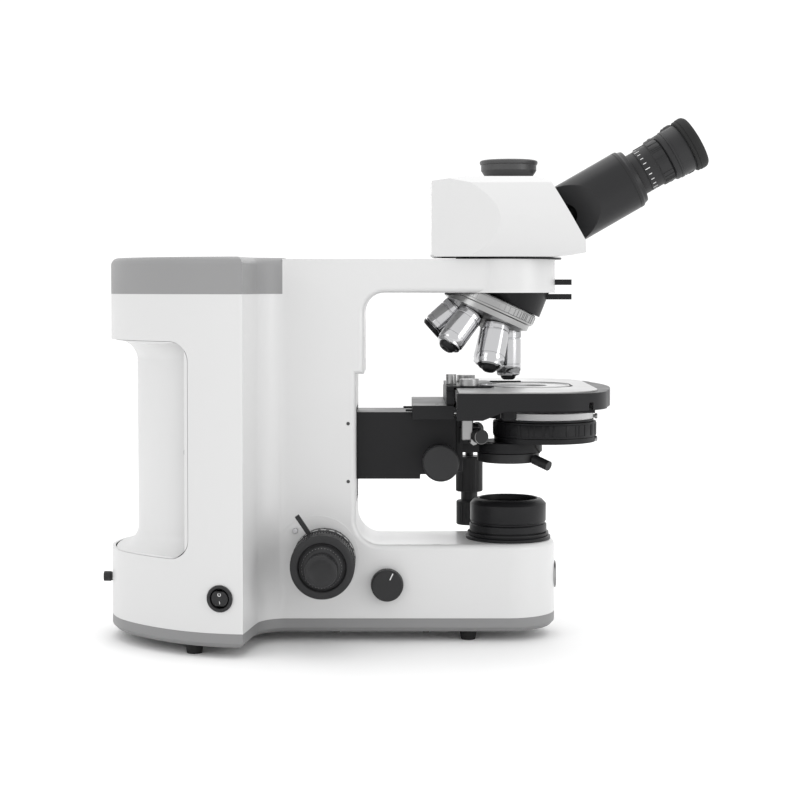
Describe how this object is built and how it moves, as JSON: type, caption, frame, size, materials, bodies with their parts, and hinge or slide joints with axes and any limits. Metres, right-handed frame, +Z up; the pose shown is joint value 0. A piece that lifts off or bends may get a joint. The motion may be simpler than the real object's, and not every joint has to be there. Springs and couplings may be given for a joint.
{
  "type": "compound microscope",
  "caption": "Upright laboratory microscope with a binocular head, tilted rotating nosepiece, focusing mechanical stage, turret condenser and built-in base light.",
  "frame": {"origin": "on the table, under the middle of the bounding box", "axes": "+X towards the user (eyepiece side), +Y to the user's right, +Z up"},
  "size_m": [0.5425, 0.244, 0.4664],
  "materials": {
    "white_paint": "satin",
    "white_plastic": "satin",
    "grey_plastic": "satin",
    "grey_paint": "satin",
    "rubber": "matte",
    "steel": "satin",
    "black_plastic": "satin",
    "dark_plastic": "satin",
    "black_metal": "anodised",
    "glass": "clear",
    "badge": "satin",
    "stage_top": "satin",
    "chrome": "polished"
  },
  "bodies": {
    "stand": {"frame_casting": "white_paint", "rear_housing": "white_plastic", "handle_insert": "white_plastic", "top_cap": "grey_plastic", "base_plate": "grey_paint", "feet": "rubber", "case_screws": "steel", "power_supply": "steel", "power_inlet": "black_plastic", "switch_bezel": "black_plastic", "lamp_module": "black_metal", "fixed_optics": "glass", "field_lens_housing": "black_metal", "front_badge": "badge", "head_mount_ring": "black_metal", "nosepiece_mount": "black_metal"},
    "power_rocker": {"switch_rocker": "black_plastic"},
    "light_dial": {"dimmer_knob": "dark_plastic"},
    "field_ring": {"field_diaphragm_ring": "black_metal"},
    "tension": {"tension_ring": "dark_plastic"},
    "focus_lock": {"lock_lever": "dark_plastic"},
    "coarse_drive": {"focus_shaft": "steel", "coarse_knob_left": "dark_plastic", "coarse_knob_right": "dark_plastic"},
    "fine_drive": {"fine_knob_left": "dark_plastic", "fine_knob_right": "dark_plastic"},
    "coarse_carriage": {"stage_slide": "steel"},
    "stage_carriage": {"stage_bracket": "black_metal", "stage_base": "black_metal"},
    "moving_stage": {"stage_plate": "black_metal", "stage_surface": "stage_top"},
    "stage_drive_y": {"stage_knob_y": "black_plastic"},
    "stage_drive_x": {"stage_knob_x": "black_plastic"},
    "specimen_holder": {"slide_holder": "black_metal", "stage_screws": "steel"},
    "holder_finger": {"slide_finger": "steel"},
    "condenser_drive": {"condenser_focus_shaft": "black_plastic"},
    "condenser": {"condenser_carrier": "black_metal", "condenser_body": "black_metal", "centring_screws": "black_plastic"},
    "turret": {"condenser_turret": "black_metal"},
    "iris": {"iris_ring": "black_plastic"},
    "nosepiece": {"nosepiece_turret": "black_metal", "objective_4x": "chrome", "objective_10x": "chrome", "objective_20x": "chrome", "objective_40x": "chrome", "objective_60x": "chrome", "objective_100x": "chrome"},
    "upper_slider": {"slider_upper": "black_metal"},
    "lower_slider": {"slider_lower": "black_metal"},
    "head": {"head_housing": "white_paint", "port_cap": "dark_plastic", "beam_splitter": "glass"},
    "left_tube": {"tube_left": "white_paint", "eyepiece_left": "black_plastic"},
    "right_tube": {"tube_right": "white_paint", "eyepiece_right": "black_plastic"},
    "left_diopter": {"diopter_ring_left": "dark_plastic"},
    "right_diopter": {"diopter_ring_right": "dark_plastic"}
  },
  "joints": [
    {"name": "switch_rock", "type": "hinge", "parent": "stand", "child": "power_rocker", "pos_m": [-0.15553, -0.11051, 0.0515], "axis": [0.975, -0.2223, 0], "range_deg": [-13, 0]},
    {"name": "dimmer_turn", "type": "hinge", "parent": "stand", "child": "light_dial", "pos_m": [-0.0146, -0.046, 0.052], "axis": [0, -1, 0], "range_deg": [-140, 140]},
    {"name": "field_ring_turn", "type": "hinge", "parent": "stand", "child": "field_ring", "pos_m": [0.0956, 0, 0.11], "axis": [0, 0, 1], "range_deg": [-60, 60]},
    {"name": "tension_turn", "type": "hinge", "parent": "stand", "child": "tension", "pos_m": [-0.0702, -0.058, 0.0755], "axis": [0, -1, 0], "range_deg": [-60, 60]},
    {"name": "lock_lever_turn", "type": "hinge", "parent": "stand", "child": "focus_lock", "pos_m": [-0.0702, -0.0715, 0.0755], "axis": [0, -1, 0], "range_deg": [0, 45]},
    {"name": "coarse_turn", "type": "hinge", "parent": "stand", "child": "coarse_drive", "pos_m": [-0.0702, 0, 0.0755], "axis": [0, -1, 0], "range_deg": [-169, 12]},
    {"name": "fine_turn", "type": "hinge", "parent": "stand", "child": "fine_drive", "pos_m": [-0.0702, 0, 0.0755], "axis": [0, -1, 0], "range_deg": [-541, 541]},
    {"name": "coarse_slide", "type": "slide", "parent": "stand", "child": "coarse_carriage", "axis": [0, 0, 1], "range_m": [-0.018, 0.0012]},
    {"name": "fine_slide", "type": "slide", "parent": "coarse_carriage", "child": "stage_carriage", "axis": [0, 0, 1], "range_m": [-0.0003, 0.0003]},
    {"name": "stage_slide_x", "type": "slide", "parent": "stage_carriage", "child": "moving_stage", "axis": [1, 0, 0], "range_m": [-0.038, 0.012]},
    {"name": "holder_slide_y", "type": "slide", "parent": "moving_stage", "child": "specimen_holder", "axis": [0, 1, 0], "range_m": [-0.038, 0.038]},
    {"name": "stage_y_knob_turn", "type": "hinge", "parent": "moving_stage", "child": "stage_drive_y", "pos_m": [0.0638, 0.09, 0.13], "axis": [0, 0, 1], "range_deg": [-364, 116]},
    {"name": "stage_x_knob_turn", "type": "hinge", "parent": "moving_stage", "child": "stage_drive_x", "pos_m": [0.0638, 0.09, 0.1], "axis": [0, 0, 1], "range_deg": [-364, 364]},
    {"name": "finger_open", "type": "hinge", "parent": "specimen_holder", "child": "holder_finger", "pos_m": [0.0716, -0.046, 0.23], "axis": [0, 0, 1], "range_deg": [-25, 0], "stiffness_Nm_per_rad": 0.02},
    {"name": "condenser_knob_turn", "type": "hinge", "parent": "stage_carriage", "child": "condenser_drive", "pos_m": [0.0328, 0, 0.161], "axis": [0, -1, 0], "range_deg": [-96, 8]},
    {"name": "condenser_slide", "type": "slide", "parent": "stage_carriage", "child": "condenser", "axis": [0, 0, 1], "range_m": [-0.01, 0.0008]},
    {"name": "condenser_turret_turn", "type": "hinge", "parent": "condenser", "child": "turret", "pos_m": [0.1288, 0, 0.188], "axis": [0, 0, 1], "continuous": true},
    {"name": "iris_turn", "type": "hinge", "parent": "condenser", "child": "iris", "pos_m": [0.0956, 0, 0.162], "axis": [0, 0, 1], "range_deg": [-25, 25]},
    {"name": "nosepiece_turn", "type": "hinge", "parent": "stand", "child": "nosepiece", "pos_m": [0.0956, 0, 0.339], "axis": [-0.4107, 0, -0.9118], "continuous": true},
    {"name": "upper_slider_pull", "type": "slide", "parent": "stand", "child": "upper_slider", "axis": [1, 0, 0], "range_m": [0, 0.03]},
    {"name": "lower_slider_pull", "type": "slide", "parent": "stand", "child": "lower_slider", "axis": [1, 0, 0], "range_m": [0, 0.03]},
    {"name": "head_turn", "type": "hinge", "parent": "stand", "child": "head", "pos_m": [0.0956, 0, 0.343], "axis": [0, 0, 1], "continuous": true},
    {"name": "left_tube_swing", "type": "hinge", "parent": "head", "child": "left_tube", "pos_m": [0.15625, 0, 0.36285], "axis": [0.866, 0, 0.5], "range_deg": [-9, 20]},
    {"name": "right_tube_swing", "type": "hinge", "parent": "head", "child": "right_tube", "pos_m": [0.15625, 0, 0.36285], "axis": [0.866, 0, 0.5], "range_deg": [-20, 9]},
    {"name": "left_diopter_turn", "type": "hinge", "parent": "left_tube", "child": "left_diopter", "pos_m": [0.21528, -0.032, 0.4206], "axis": [0.866, 0, 0.5], "range_deg": [-90, 90]},
    {"name": "right_diopter_turn", "type": "hinge", "parent": "right_tube", "child": "right_diopter", "pos_m": [0.21528, 0.032, 0.4206], "axis": [0.866, 0, 0.5], "range_deg": [-90, 90]}
  ],
  "couplings": [
    {"joint": "coarse_turn", "follows": "coarse_slide", "rad_per_m": 162.6},
    {"joint": "fine_turn", "follows": "fine_slide", "rad_per_m": 31446},
    {"joint": "stage_y_knob_turn", "follows": "stage_slide_x", "rad_per_m": 166.7},
    {"joint": "stage_x_knob_turn", "follows": "holder_slide_y", "rad_per_m": 166.7},
    {"joint": "condenser_knob_turn", "follows": "condenser_slide", "rad_per_m": 164.5},
    {"joint": "right_tube_swing", "follows": "left_tube_swing", "ratio": -1}
  ]
}
